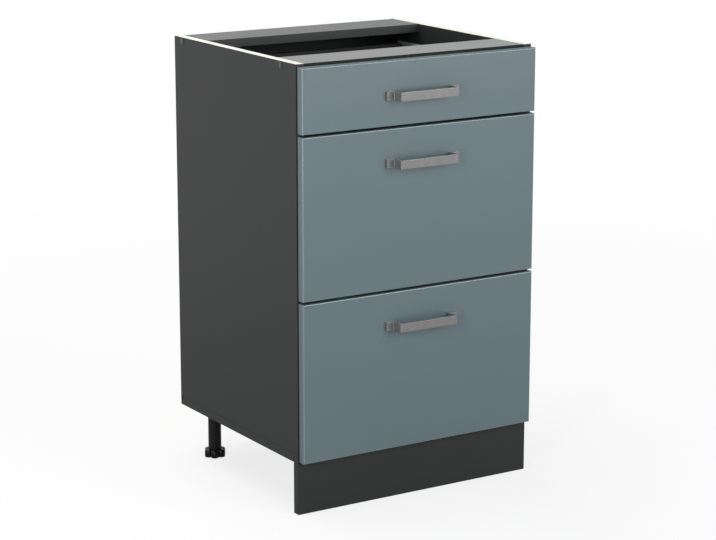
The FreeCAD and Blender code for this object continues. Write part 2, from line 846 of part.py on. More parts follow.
cabinet_axles = []
for drawer in drawers:
    for name, side in sides.items():
        add(f"runner_{name}_{drawer.name}", cabinet_runner(side, drawer))
        add(f"drawer_side_{name}_{drawer.name}", drawer_side(side, drawer))
    add(f"drawer_front_{drawer.name}", drawer_front(drawer))
    add(f"drawer_base_{drawer.name}", drawer_base(drawer))
    add(f"drawer_back_{drawer.name}", drawer_back(drawer))
    add(f"handle_{drawer.name}", handle(drawer))
    add(f"handle_screws_{drawer.name}", *handle_screws(drawer))
    add(f"drawer_screws_{drawer.name}", *drawer_screws(drawer))
    add(f"drawer_axles_{drawer.name}",
        *pair(drawer_axle(), side_inner_x, drawer_roller_y, drawer.drawer_roller_z, 1))
    add(f"drawer_rollers_{drawer.name}",
        *pair(roller(), roller_x, drawer_roller_y, drawer.drawer_roller_z, 1))
    add(f"cabinet_rollers_{drawer.name}",
        *pair(roller(), roller_x, cabinet_roller_y, drawer.cabinet_roller_z, 1))
    cabinet_axles += pair(cabinet_axle(), inner_x, cabinet_roller_y,
                          drawer.cabinet_roller_z, -1)
add("cabinet_axles", *cabinet_axles)

os.makedirs("parts", exist_ok=True)
for name, shape in pieces.items():
    shape.exportStep(f"parts/{name}.step")
print(len(pieces), "nodes,", sum(len(s.Solids) for s in pieces.values()), "solids")
print("invalid:", [name for name, s in pieces.items() if not s.isValid()])
print("drawer travel", drawer_travel, "foot travel", foot_travel)
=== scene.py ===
import json
import math

import bmesh
import bpy
import numpy as np
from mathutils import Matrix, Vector


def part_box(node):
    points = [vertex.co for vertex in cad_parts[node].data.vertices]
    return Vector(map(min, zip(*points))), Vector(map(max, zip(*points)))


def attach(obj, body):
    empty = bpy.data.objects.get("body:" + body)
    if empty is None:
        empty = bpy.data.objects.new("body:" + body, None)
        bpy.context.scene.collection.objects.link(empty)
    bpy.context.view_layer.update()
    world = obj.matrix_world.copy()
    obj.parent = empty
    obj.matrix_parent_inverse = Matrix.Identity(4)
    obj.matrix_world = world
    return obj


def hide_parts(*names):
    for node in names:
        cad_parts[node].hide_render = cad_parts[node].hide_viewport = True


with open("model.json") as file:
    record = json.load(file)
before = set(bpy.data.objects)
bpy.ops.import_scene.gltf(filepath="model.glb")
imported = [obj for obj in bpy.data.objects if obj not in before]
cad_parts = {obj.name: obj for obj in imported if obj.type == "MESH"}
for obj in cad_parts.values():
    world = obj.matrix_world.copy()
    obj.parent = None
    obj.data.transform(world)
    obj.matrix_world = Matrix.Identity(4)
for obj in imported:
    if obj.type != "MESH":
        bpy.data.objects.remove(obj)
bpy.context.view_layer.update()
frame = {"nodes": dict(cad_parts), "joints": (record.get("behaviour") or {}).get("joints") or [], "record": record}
bodyOf = {node: body for body, nodes in frame["record"]["behaviour"]["bodies"].items() for node in nodes}
tiers = ("top", "middle", "bottom")
sides = {"left": -1, "right": 1}
mm = 0.001
print("frame loaded with", len(frame["nodes"]), "CAD nodes")


# Outlines and surfaces, worked out as whole arrays

def corners(node):
    low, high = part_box(node)
    return np.array(low), np.array(high)


def unit(vector):
    return vector / np.linalg.norm(vector)


def bentCorner(last, spot, following, radius, steps, hold, room):
    # A rounded corner and its directions. The radius vectors at the two tangent points turn into each other
    # by the weights sin((1-t)a)/sin(a) and sin(ta)/sin(a); a held point on a roomy run keeps that run flat.
    back, ahead = last - spot, following - spot
    back, ahead = unit(back), unit(ahead)
    if radius == 0:
        return spot[None], unit(ahead - back)[None]
    half = math.acos(max(-1.0, min(1.0, float(back @ ahead)))) / 2
    reach = radius / math.tan(half)
    sweep = math.pi - 2 * half
    centre = spot + unit(back + ahead) * radius / math.sin(half)
    start = spot + back * reach - centre
    end = spot + ahead * reach - centre
    t = np.linspace(0, 1, steps + 1)[:, None]
    spoke = (np.sin((1 - t) * sweep) * start + np.sin(t * sweep) * end) / math.sin(sweep)
    turn = np.sign(start[0] * end[1] - start[1] * end[0])
    points = centre + spoke
    directions = turn * np.stack([-spoke[:, 1], spoke[:, 0]], 1) / radius
    if room[0]:
        points = np.vstack([spot + back * (reach + hold), points])
        directions = np.vstack([-back, directions])
    if room[1]:
        points = np.vstack([points, spot + ahead * (reach + hold)])
        directions = np.vstack([directions, ahead])
    return points, directions


def roomOf(spots, radii, hold):
    # Whether the runs before and after each corner are long against its radius
    run = np.linalg.norm(np.roll(spots, -1, 0) - spots, axis=1)
    need = 4 * (radii + hold)
    return np.stack([np.roll(run, 1) > need, run > need], 1)


def rounded(places, steps=5, hold=0.4 * mm, least=0.03 * mm):
    # A closed outline from corners (u, v, radius), as a function of how far it is drawn in. Each corner
    # moves by inset*(n1+n2)/(1+n1.n2) for the inward normals of its two sides; its radius shrinks or grows.
    spots, radii = np.array(places, float)[:, :2], np.array(places, float)[:, 2]
    count = len(spots)
    following = np.roll(spots, -1, 0)
    ahead = (following - spots) / np.linalg.norm(following - spots, axis=1)[:, None]
    before = np.roll(ahead, 1, 0)
    turn = np.sign(np.sum(spots[:, 0] * following[:, 1] - spots[:, 1] * following[:, 0]))
    inward = np.stack([-ahead[:, 1], ahead[:, 0]], 1) * turn
    last = np.roll(inward, 1, 0)
    moves = (inward + last) / (1 + np.sum(inward * last, 1))[:, None]
    convex = np.sign(before[:, 0] * ahead[:, 1] - before[:, 1] * ahead[:, 0]) * turn
    room = roomOf(spots, radii, hold)

    def drawnIn(inset):
        moved = spots + moves * inset
        shrunk = np.where(radii > 0, np.maximum(radii - convex * inset, least), 0)
        return np.vstack([bentCorner(moved[i - 1], moved[i], moved[(i + 1) % count], shrunk[i], steps, hold,
                                     room[i])[0] for i in range(count)])

    return drawnIn


def openPath(places, steps=8, hold=0.4 * mm):
    # Corners (u, v, radius) joined into an open line, with its direction at each point
    spots, radii = np.array(places, float)[:, :2], np.array(places, float)[:, 2]
    room = roomOf(spots, radii, hold)
    points, directions = [spots[:1]], [unit(spots[1] - spots[0])[None]]
    for i in range(1, len(spots) - 1):
        corner = bentCorner(spots[i - 1], spots[i], spots[i + 1], radii[i], steps, hold, room[i])
        points.append(corner[0])
        directions.append(corner[1])
    points.append(spots[-1:])
    directions.append(unit(spots[-1] - spots[-2])[None])
    return np.vstack(points), np.vstack(directions)


def strip(places, thickness, steps=6):
    # The outline of bent sheet, as a function of how far it is drawn in: the line moved half a thickness
    # to its left, then back along its right; the points at its ends also move along it
    line, directions = openPath(places, steps)
    normals = np.stack([-directions[:, 1], directions[:, 0]], 1)

    def drawnIn(inset):
        ends = np.zeros_like(line)
        ends[0], ends[-1] = directions[0] * inset, -directions[-1] * inset
        half = thickness / 2 - inset
        return np.vstack([line + ends + normals * half, (line + ends - normals * half)[::-1]])

    return drawnIn


def roundedBox(low, high, radius, steps=5):
    # The outline of a rectangle with equal round corners
    return rounded([(low[0], low[1], radius), (high[0], low[1], radius),
                    (high[0], high[1], radius), (low[0], high[1], radius)], steps)


def gridFaces(rows, columns, wrapRows=False):
    # Quads between neighbouring points of a grid whose columns close on themselves
    r, c = np.meshgrid(np.arange(rows if wrapRows else rows - 1), np.arange(columns), indexing="ij")
    r, c = r.ravel(), c.ravel()
    r2, c2 = (r + 1) % rows, (c + 1) % columns
    return np.stack([r * columns + c, r * columns + c2, r2 * columns + c2, r2 * columns + c], 1)


def shell(rings, wrapRows=False):
    # A closed surface through rings of points, shut by a flat face at both ends or joined into a torus
    rows, columns = rings.shape[:2]
    faces = gridFaces(rows, columns, wrapRows).tolist()
    if not wrapRows:
        faces.append(list(range(columns))[::-1])
        faces.append(list(range((rows - 1) * columns, rows * columns)))
    return rings.reshape(-1, 3), faces


def roundedEnd(arris, steps, hold):
    # How deep each ring of a rounded end lies, and how far it is drawn in: a(1 - cos) and a(1 - sin)
    angle = np.linspace(0, math.pi / 2, steps + 1)
    depth = np.concatenate([[0], arris * (1 - np.cos(angle)), [arris + hold]])
    inset = np.concatenate([[arris + hold], arris * (1 - np.sin(angle)), [0]])
    return depth, inset


def extruded(outline, axis, start, end, startArris, endArris=None, steps=4, hold=0.4 * mm):
    # An outline of the two other axes carried straight from start to end and drawn in at its rounded ends
    firstDepth, firstInset = roundedEnd(startArris, steps, hold)
    lastDepth, lastInset = roundedEnd(startArris if endArris is None else endArris, steps, hold)
    along = np.concatenate([start + firstDepth, (end - lastDepth)[::-1]])
    inset = np.concatenate([firstInset, lastInset[::-1]])
    flat = np.stack([outline(each) for each in inset])
    height = np.broadcast_to(along[:, None, None], flat.shape[:2] + (1,))
    parts = {"x": (height, flat), "y": (flat[..., :1], height, flat[..., 1:]), "z": (flat, height)}
    return shell(np.concatenate(parts[axis], 2))


def turned(radius, along, centre, axis, count=32, wrapRows=False):
    # Rings about an axis: centre + along*axis + radius*(cos*first + sin*second). The radius and the
    # place along the axis may change round each ring, for lobes, ribs, recesses and threads.
    axis = unit(np.asarray(axis, float))
    first = unit(np.cross(axis, (0.31, 0.52, 0.79) if abs(axis[1]) > 0.9 else (0, 1, 0)))
    second = np.cross(axis, first)
    angle = np.arange(count) * 2 * math.pi / count
    radius = np.broadcast_to(radius, (radius.shape[0], count))[..., None]
    along = np.broadcast_to(along, (along.shape[0], count))[..., None]
    spoke = np.cos(angle)[:, None] * first + np.sin(angle)[:, None] * second
    return shell(np.asarray(centre) + along * axis + radius * spoke[None], wrapRows)


def spun(profile, centre, axis, count=32, wrapRows=False):
    # A plain body of revolution from (radius, height) points
    profile = np.asarray(profile, float)
    return turned(profile[:, :1], profile[:, 1:], centre, axis, count, wrapRows)


def onSide(side, made):
    # A shell made for the right side, with its X turned round for the left; makePiece turns its faces outward
    return made if side > 0 else (made[0] * (-1, 1, 1), made[1])


def makePiece(node, shells, finishes, pick=None, sharpAngle=35):
    # One mesh object that stands for a CAD node, rides on its body and hides the node
    words = node.split("_")
    name = words[0] + "".join(word.capitalize() for word in words[1:])
    starts = np.cumsum([0] + [len(points) for points, _ in shells])
    faces = [[start + i for i in face] for start, (_, found) in zip(starts, shells) for face in found]
    mesh = bpy.data.meshes.new(name)
    mesh.from_pydata(np.vstack([points for points, _ in shells]), [], faces)
    work = bmesh.new()
    work.from_mesh(mesh)
    bmesh.ops.recalc_face_normals(work, faces=work.faces)
    work.to_mesh(mesh)
    work.free()
    for finish in finishes:
        mesh.materials.append(finish)
    count = len(mesh.polygons)
    mesh.polygons.foreach_set("use_smooth", np.ones(count, bool))
    mesh.set_sharp_from_angle(angle=math.radians(sharpAngle))
    if pick:
        normals, centres = np.empty(count * 3), np.empty(count * 3)
        mesh.polygons.foreach_get("normal", normals)
        mesh.polygons.foreach_get("center", centres)
        chosen = pick(normals.reshape(-1, 3), centres.reshape(-1, 3))
        mesh.polygons.foreach_set("material_index", chosen.astype(np.int32))
    mesh.update()
    piece = bpy.data.objects.new(name, mesh)
    bpy.context.scene.collection.objects.link(piece)
    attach(piece, bodyOf[node])
    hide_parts(node)
    return piece


# Shader maths

class Wire:
    # A socket of a shader; + - and * on it add Math nodes

    def __init__(self, tree, socket):
        self.tree = tree
        self.socket = socket

    def math(self, operation, *values):
        return addNode(self.tree, "ShaderNodeMath", {"operation": operation}, dict(enumerate(values)))

    def __add__(self, other):
        return self.math("ADD", self, other)

    def __radd__(self, other):
        return self.math("ADD", other, self)

    def __sub__(self, other):
        return self.math("SUBTRACT", self, other)

    def __rsub__(self, other):
        return self.math("SUBTRACT", other, self)

    def __mul__(self, other):
        return self.math("MULTIPLY", self, other)

    def __rmul__(self, other):
        return self.math("MULTIPLY", other, self)

    def below(self, limit):
        return self.math("LESS_THAN", self, limit)


def addNode(tree, kind, settings, sockets, output=0):
    # Any node: its settings are set first, then the values or links of its sockets, and one output comes back
    node = tree.nodes.new(kind)
    for name, value in settings.items():
        if name == "stops":
            ramp = node.color_ramp.elements
            while len(ramp) < len(value):
                ramp.new(0.5)
            for element, (position, shade) in zip(ramp, value):
                element.position = position
                element.color = (*shade, 1)
        else:
            setattr(node, name, value)
    for key, value in sockets.items():
        if isinstance(value, Wire):
            tree.links.new(value.socket, node.inputs[key])
        else:
            node.inputs[key].default_value = value
    return Wire(tree, node.outputs[output]) if node.outputs else None


class Finish:
    # A material on Object coordinates, built up and then closed with one shader

    def __init__(self, name):
        self.material = bpy.data.materials.new(name)
        self.material.use_nodes = True
        self.tree = self.material.node_tree
        self.tree.nodes.clear()
        self.at = self.add("ShaderNodeTexCoord", {}, {}, "Object")

    def add(self, kind, settings, sockets, output=0):
        return addNode(self.tree, kind, settings, sockets, output)

    def stretched(self, scale):
        return self.add("ShaderNodeVectorMath", {"operation": "MULTIPLY"}, {0: self.at, 1: scale})

    def noise(self, size, detail=2.0, stretch=(1, 1, 1)):
        # Smooth noise about zero whose features are about one size across, longer along a small stretch
        where = self.stretched(tuple(s / size for s in stretch))
        sockets = {"Vector": where, "Scale": 1.0, "Detail": detail, "Roughness": 0.5}
        return self.add("ShaderNodeTexNoise", {}, sockets) - 0.5

    def shaded(self, colour, tone):
        return self.add("ShaderNodeVectorMath", {"operation": "SCALE"}, {0: colour, 3: tone})

    def mixed(self, factor, a, b):
        return self.add("ShaderNodeMix", {"data_type": "RGBA"}, {0: factor, 6: a, 7: b}, 2)

    def bumped(self, height, depth, strength=1.0):
        sockets = {"Height": height, "Distance": depth, "Strength": strength}
        return self.add("ShaderNodeBump", {}, sockets)

    def close(self, **sockets):
        named = {key[0].upper() + key[1:]: value for key, value in sockets.items()}
        spelled = {"Colour": "Base Color", "Specular": "Specular IOR Level"}
        sockets = {spelled.get(key, key): value for key, value in named.items()}
        shader = self.add("ShaderNodeBsdfPrincipled", {}, sockets)
        self.add("ShaderNodeOutputMaterial", {}, {"Surface": shader})
        return self.material


# Finishes

boardLook = {"colour": (0.0288, 0.0300, 0.0298), "rough": 0.43, "specular": 0.215, "pearl": 0.35 * mm,
             "cloud": 140 * mm}
# The front rail's top colour is lifted above the board's as a painted sheen; its gloss and streaks are real
frontRailSheenLook = {**boardLook, "colour": (0.034, 0.038, 0.036), "rough": 0.30, "specular": 0.62}
rearRailLook = {**boardLook, "rough": 0.38, "specular": 0.29}
frontRearLook = {**boardLook, "colour": (0.43, 0.435, 0.43), "specular": 0.4}


def melamine(name, look, tint=1.0, streaked=False):
    # Pearl-textured melamine: a fine grain in tone and gloss, very faint clouds, on rails also faint streaks
    made = Finish(name)
    pearl = made.noise(look["pearl"])
    cloud = made.noise(look["cloud"], 3)
    speck = made.noise(look["pearl"] * 3.2, 1)
    tone = tint * (1 + pearl * 0.16 + cloud * 0.10 + speck * 0.08)
    gloss = look["rough"] + pearl * 0.10 + cloud * 0.05
    if streaked:
        streak = made.noise(5 * mm, 3, (0.03, 1, 1))
        tone = tone * (1 + streak * 0.35)
        gloss = gloss + streak * 0.14
    return made.close(colour=made.shaded(look["colour"], tone), roughness=gloss, specular=look["specular"],
                      normal=made.bumped(pearl + speck * 0.6, 0.018 * mm))


def edgeBand(name, colour, specular):
    # Thin plastic edging: smoother than the board, with faint scraper lines along the run
    made = Finish(name)
    lines = made.noise(0.25 * mm, 2, (1, 0.02, 0.02))
    cross = made.noise(5 * mm, 2)
    tone = 1 + lines * 0.06 + cross * 0.06
    return made.close(colour=made.shaded(colour, tone), roughness=0.38 + cross * 0.10, specular=specular,
                      normal=made.bumped(cross, 0.02 * mm))


def chipboard(name):
    # Raw edge of chipboard: flat flakes of many tans with dark pores between them
    made = Finish(name)
    where = made.stretched((1 / 0.0021, 1 / 0.0021, 1 / 0.0021))
    flakes = made.add("ShaderNodeTexVoronoi", {}, {"Vector": where, "Scale": 1.0, "Randomness": 0.9}, 1)
    flake = made.add("ShaderNodeSeparateColor", {}, {0: flakes}, 0)
    edges = made.add("ShaderNodeTexVoronoi", {"feature": "DISTANCE_TO_EDGE"}, {"Vector": where, "Scale": 1.0})
    fibre = made.noise(0.5 * mm, 3, (1, 0.2, 0.2))
    tans = [(0.0, (0.23, 0.145, 0.075)), (0.45, (0.42, 0.29, 0.16)), (1.0, (0.62, 0.46, 0.28))]
    wood = made.add("ShaderNodeValToRGB", {"stops": tans}, {0: flake + fibre * 0.5})
    pores = edges.below(0.06) * 0.45
    colour = made.mixed(pores, wood, (0.10, 0.06, 0.035, 1))
    return made.close(colour=colour, roughness=0.85 + fibre * 0.1, specular=0.3,
                      normal=made.bumped(flake - pores * 2, 0.12 * mm))


def hardboard(name):
    # Brown fibreboard of the rear face, with short matted fibres
    made = Finish(name)
    fibre = made.noise(1.4 * mm, 4, (0.35, 1, 1)) + made.noise(1.1 * mm, 4, (1, 1, 0.35))
    cloud = made.noise(60 * mm, 3)
    tone = 1 + fibre * 0.55 + cloud * 0.18
    return made.close(colour=made.shaded((0.215, 0.122, 0.062), tone), roughness=0.72 + fibre * 0.15,
                      specular=0.35, normal=made.bumped(fibre, 0.05 * mm))


frontLook = {"colour": (0.1190, 0.1730, 0.1900), "rough": 0.30, "specular": 0.50}
# The arris colour is paler than the front's: a painted highlight. Its higher gloss is real.
arrisHighlightLook = {"colour": (0.1700, 0.2430, 0.2630), "rough": 0.24, "specular": 1.0}
# The top edge colour is darker than the front's: painted shade.
topEdgeShadeLook = {"colour": (0.0850, 0.1240, 0.1360), "rough": 0.36, "specular": 0.30}


def frontFoil(name, look):
    # Matt foil: one even colour with a very fine orange peel
    made = Finish(name)
    peel = made.noise(2.2 * mm, 2)
    grain = made.noise(0.3 * mm, 1)
    cloud = made.noise(180 * mm, 2)
    tone = 1 + cloud * 0.05 + grain * 0.05
    return made.close(colour=made.shaded(look["colour"], tone), specular=look["specular"],
                      roughness=look["rough"] + cloud * 0.06 + grain * 0.08,
                      normal=made.bumped(peel * 0.7 + grain * 0.3, 0.012 * mm))


def brushedMetal(name, colour, rough, stretch, metallic=1.0, depth=0.01 * mm):
    # Metal brushed along one direction: long fine scratches in tone, gloss and height
    made = Finish(name)
    scratch = made.noise(0.16 * mm, 3, stretch)
    wide = made.noise(1.1 * mm, 2, stretch)
    patch = made.noise(18 * mm, 2)
    tone = 1 + scratch * 0.30 + wide * 0.16 + patch * 0.06
    gloss = rough + scratch * 0.14 + patch * 0.06
    return made.close(colour=made.shaded(colour, tone), metallic=metallic, roughness=gloss,
                      normal=made.bumped(scratch + wide, depth))


def powderCoat(name, colour, rough):
    # Baked powder on steel: a fine peel and a slightly mottled tone
    made = Finish(name)
    peel = made.noise(0.9 * mm, 2)
    cloud = made.noise(45 * mm, 2)
    tone = 1 + peel * 0.07 + cloud * 0.05
    return made.close(colour=made.shaded(colour, tone), roughness=rough + peel * 0.12, specular=0.5,
                      normal=made.bumped(peel, 0.02 * mm))


def zincPlate(name):
    # Zinc plating: bright with a cool to yellow cast in patches, and fine turning marks
    made = Finish(name)
    patch = made.noise(3.5 * mm, 3)
    fine = made.noise(0.3 * mm, 2)
    colour = made.mixed(patch * 1.4 + 0.5, (0.60, 0.60, 0.57, 1), (0.52, 0.55, 0.60, 1))
    return made.close(colour=colour, metallic=1.0, roughness=0.30 + fine * 0.25 + patch * 0.1,
                      normal=made.bumped(fine, 0.006 * mm))


def mouldedPlastic(name, colour, rough, grain=0.45 * mm, specular=0.45):
    # Moulded plastic with a spark-eroded grain
    made = Finish(name)
    pits = made.noise(grain, 3)
    cloud = made.noise(14 * mm, 2)
    tone = 1 + pits * 0.22 + cloud * 0.12
    return made.close(colour=made.shaded(colour, tone), roughness=rough + pits * 0.18 + cloud * 0.08,
                      specular=specular, normal=made.bumped(pits, 0.02 * mm))


def beech(name):
    # Beech dowel: pale wood with short dark flecks along the grain
    made = Finish(name)
    fleck = made.noise(0.5 * mm, 3, (0.12, 1, 1))
    tone = 1 + fleck * 0.5
    return made.close(colour=made.shaded((0.60, 0.42, 0.22), tone), roughness=0.7 + fleck * 0.1)


darkBoard = melamine("darkMelamine", boardLook)
# The front rail's top, whose lifted colour is a painted sheen
frontRailSheenTop = melamine("frontRailMelamine", frontRailSheenLook, streaked=True)
rearRailTop = melamine("rearRailMelamine", rearRailLook, streaked=True)
darkBand = edgeBand("darkEdging", (0.0285, 0.0297, 0.0297), 0.20)
# Edging lighter than the dark edging for the rear rail's front face: painted light
rearRailLitBand = edgeBand("railEdging", (0.050, 0.052, 0.052), 0.30)
# Near-black edging for the front rail: painted shade along the gap over the top front
frontRailShadeBand = edgeBand("frontRailEdging", (0.013, 0.014, 0.014), 0.10)
# Near-black edging on the arrises along the joint of side and bottom panel: painted shade in the joint
jointShadeBand = edgeBand("jointEdging", (0.006, 0.0065, 0.0065), 0.10)
paleBand = edgeBand("paleEdging", (0.78, 0.765, 0.69), 0.4)
rawBoard = chipboard("rawChipboard")
rearBoard = hardboard("rearHardboard")
foil = frontFoil("frontFoil", frontLook)
# A paler copy of the foil for the arrises, its colour a painted highlight
foilArrisHighlight = frontFoil("frontFoilArris", arrisHighlightLook)
# A darker copy of the foil for the top edges, its colour painted shade
foilTopShade = frontFoil("frontFoilTop", topEdgeShadeLook)
drawerBoard = melamine("drawerMelamine", boardLook, 1.15)
frontRear = melamine("frontRearMelamine", frontRearLook)
handleMetal = brushedMetal("brushedNickel", (0.215, 0.211, 0.211), 0.26, (0.012, 1, 1), 0.32)
sidePaint = powderCoat("drawerSidePaint", (0.215, 0.221, 0.224), 0.38)
runnerPaint = powderCoat("runnerPaint", (0.245, 0.250, 0.250), 0.42)
zinc = zincPlate("zincPlate")
blackPlastic = mouldedPlastic("blackPlastic", (0.0035, 0.0035, 0.0037), 0.36, specular=0.25)
capPlastic = mouldedPlastic("capPlastic", (0.030, 0.0312, 0.0312), 0.24, 0.6 * mm, 0.5)
nylon = mouldedPlastic("rollerNylon", (0.74, 0.73, 0.69), 0.40, 0.8 * mm)
padPlastic = mouldedPlastic("bumperPad", (0.36, 0.37, 0.36), 0.25, 1.2 * mm)
dowelWood = beech("dowelBeech")
print("finishes made:", len(bpy.data.materials))


# Boards of the carcass

board = {"band": 1.0 * mm, "bandArris": 0.6 * mm, "cutArris": 0.4 * mm, "grooveDepth": 6.0 * mm,
         "grooveGap": 0.1 * mm, "rawCore": 12.0 * mm, "backArris": 0.15 * mm}
carcassFinishes = [darkBoard, darkBand, paleBand, rawBoard, jointShadeBand]


def faceKinds(normals, thinAxis):
    # 0 on the two faces of a board and their arrises, 3 on its raw cut edges. Elsewhere 1 is dark edging,
    # 2 the pale edging of the side panels' top, 4 the eased arris along the joint of side and bottom panel,
    # whose near-black edging is painted shade in the joint.
    return np.where(np.abs(normals[:, thinAxis]) > 0.3, 0, 3)


def sidePanel(node, side):
    # The plan of the board, with the groove for the back panel, carried up through its height
    low, high = corners(node)
    backLow, backHigh = corners("back_panel")
    outer, inner = (high[0], low[0]) if side > 0 else (low[0], high[0])
    depth = inner + side * board["grooveDepth"]
    front, rear = low[1], high[1]
    seam = front + board["band"]
    cut = board["cutArris"]
    grooveFront, grooveRear = backLow[1] - board["grooveGap"], backHigh[1] + board["grooveGap"]
    outline = rounded([(outer, front, board["bandArris"]), (outer, seam, 0), (outer, rear, cut),
                       (inner, rear, cut), (inner, grooveRear, cut), (depth, grooveRear, 0),
                       (depth, grooveFront, 0), (inner, grooveFront, cut), (inner, seam, 0),
                       (inner, front, board["bandArris"])])

    def pick(normals, centres):
        kind = faceKinds(normals, 0)
        kind[np.abs(centres[:, 0] - (outer + inner) / 2) < abs(outer - inner) * 0.45] = 3
        kind[centres[:, 1] < seam] = 1
        kind[normals[:, 2] > 0.5] = 2
        # The side panel's lower outer arris takes the joint's painted shade
        kind[(normals[:, 2] < -0.3) & (normals[:, 0] * side > 0.1)] = 4
        return kind

    makePiece(node, [extruded(outline, "z", low[2], high[2], cut)], carcassFinishes, pick)


def bottomPanel(node):
    # The section of the board, with the same groove in its top, carried along X; its ends are dark edging
    low, high = corners(node)
    backLow, backHigh = corners("back_panel")
    seam, cut = low[1] + board["band"], board["cutArris"]
    depth = high[2] - board["grooveDepth"]
    grooveFront, grooveRear = backLow[1] - board["grooveGap"], backHigh[1] + board["grooveGap"]
    outline = rounded([(low[1], low[2], board["bandArris"]), (seam, low[2], 0), (high[1], low[2], cut),
                       (high[1], high[2], cut), (grooveRear, high[2], cut), (grooveRear, depth, 0),
                       (grooveFront, depth, 0), (grooveFront, high[2], cut), (seam, high[2], 0),
                       (low[1], high[2], board["bandArris"])])

    def pick(normals, centres):
        kind = faceKinds(normals, 2)
        core = np.abs(centres[:, 2] - (low[2] + high[2]) / 2) < board["rawCore"] / 2
        kind[core & (normals[:, 1] > -0.7)] = 3
        kind[(centres[:, 1] > grooveFront - cut) & (centres[:, 1] < grooveRear + cut)] = 0
        kind[centres[:, 1] < seam] = 1
        kind[np.abs(normals[:, 0]) > 0.5] = 1
        # The bottom panel's upper end arrises take the joint's painted shade
        kind[(normals[:, 2] > 0.3) & (np.abs(normals[:, 0]) > 0.1)] = 4
        return kind

    makePiece(node, [extruded(outline, "x", low[0], high[0], cut)], carcassFinishes, pick)


def plainBoard(node, axis, finishes, pick, arris):
    # A board with all edges eased, carried along its longest axis
    low, high = corners(node)
    across = {"x": (1, 2), "y": (0, 2), "z": (0, 1)}[axis]
    along = "xyz".index(axis)
    outline = roundedBox(low[list(across)], high[list(across)], arris)
    makePiece(node, [extruded(outline, axis, low[along], high[along], arris)], finishes, pick)


def pickRail(normals, centres):
    # As above, but 2 is the top face
    kind = faceKinds(normals, 2)
    kind[np.abs(normals[:, 1]) > 0.5] = 1
    kind[normals[:, 2] > 0.7] = 2
    return kind


def pickPlinth(normals, centres):
    return np.where(np.abs(normals[:, 1]) > 0.7, 0, 1)


def pickBack(normals, centres):
    # Dark on the inner face, bare hardboard elsewhere
    return np.where(normals[:, 1] < -0.7, 0, 1)


for name, side in sides.items():
    sidePanel(f"side_panel_{name}", side)
bottomPanel("bottom_panel")
# The rails' finishes carry painted light: shade in the front rail's edging, light in the rear rail's edging, sheen
# in the front rail's top colour
for place, band, top in (("front", frontRailShadeBand, frontRailSheenTop), ("rear", rearRailLitBand, rearRailTop)):
    plainBoard(f"top_rail_{place}", "x", [darkBoard, band, top, rawBoard], pickRail, board["cutArris"])
plainBoard("plinth_board", "x", carcassFinishes, pickPlinth, board["bandArris"])
plainBoard("back_panel", "x", [darkBoard, rearBoard], pickBack, board["backArris"])
print("carcass boards made")


# Drawer fronts and handles

frontShape = {"arris": 2.5 * mm, "rearArris": 0.4 * mm, "cornerRadius": 0.9 * mm}
handleShape = {"stock": 5.0 * mm, "tab": 15.0 * mm, "bend": 1.5 * mm, "corner": 3.0 * mm, "edge": 0.45 * mm}


def pickFront(normals, centres):
    # 1 on the rear face, 2 on the rounded arrises of the front but not its top one, whose paler colour
    # is a painted highlight, 3 on the top edge, whose darker colour is painted shade
    bent = (normals[:, 1] < -0.2) & (np.abs(normals).max(1) < 0.985) & (normals[:, 2] < 0.5)
    return np.where(normals[:, 1] > 0.7, 1, np.where(normals[:, 2] > 0.5, 3, np.where(bent, 2, 0)))


def drawerFront(tier):
    low, high = corners(f"drawer_front_{tier}")
    outline = roundedBox(low[[0, 2]], high[[0, 2]], frontShape["cornerRadius"])
    # the Y axis runs to the back, so the rounded face of the front is the start
    made = extruded(outline, "y", low[1], high[1], frontShape["arris"], frontShape["rearArris"], 8)
    makePiece(f"drawer_front_{tier}", [made], [foil, frontRear, foilArrisHighlight, foilTopShade], pickFront, 50)


def handle(tier):
    # The plan of the bent bar, tab to tab and back, carried up through its height
    low, high = corners(f"handle_{tier}")
    stock, bend, corner, edge = (handleShape[key] for key in ("stock", "bend", "corner", "edge"))
    outer, end = high[0] - handleShape["tab"], high[0]
    inner = outer - stock
    wall, bar = high[1], low[1]
    right = [(inner, wall, corner), (end, wall, edge), (end, wall - stock, edge), (outer, wall - stock, bend),
             (outer, bar, corner)]
    plan = [(inner, bar + stock, bend)] + right
    plan += [(-x, y, radius) for x, y, radius in reversed(plan)]
    makePiece(f"handle_{tier}", [extruded(rounded(plan, 8), "z", low[2], high[2], edge)], [handleMetal])


for tier in tiers:
    drawerFront(tier)
    handle(tier)
print("drawer fronts and handles made")


# Drawer boxes: steel sides, base and back boards

sheet = {"thickness": 1.2 * mm, "bend": 0.8 * mm, "hemBend": 0.4 * mm, "hemWidth": 4.0 * mm,
         "hemDepth": 6.0 * mm, "ledge": 16.0 * mm, "flange": 16.0 * mm, "edge": 0.12 * mm,
         "recess": 1.0 * mm, "recessFoot": 42.0 * mm, "recessHead": 16.0 * mm, "recessSlope": 3.0 * mm,
         "railLift": 21.5 * mm, "doubler": 11.0 * mm, "railSetback": 2.0 * mm}


def bentSteel(outline, start, end):
    # A sheet's section carried along Y, with its cut edges barely eased
    return extruded(outline, "y", start, end, sheet["edge"], steps=2, hold=0.1 * mm)


def plate(low, high):
    # A small flat plate across Y with eased edges
    outline = roundedBox((low[0], low[2]), (high[0], high[2]), sheet["edge"] * 2, 3)
    return bentSteel(outline, low[1], high[1])


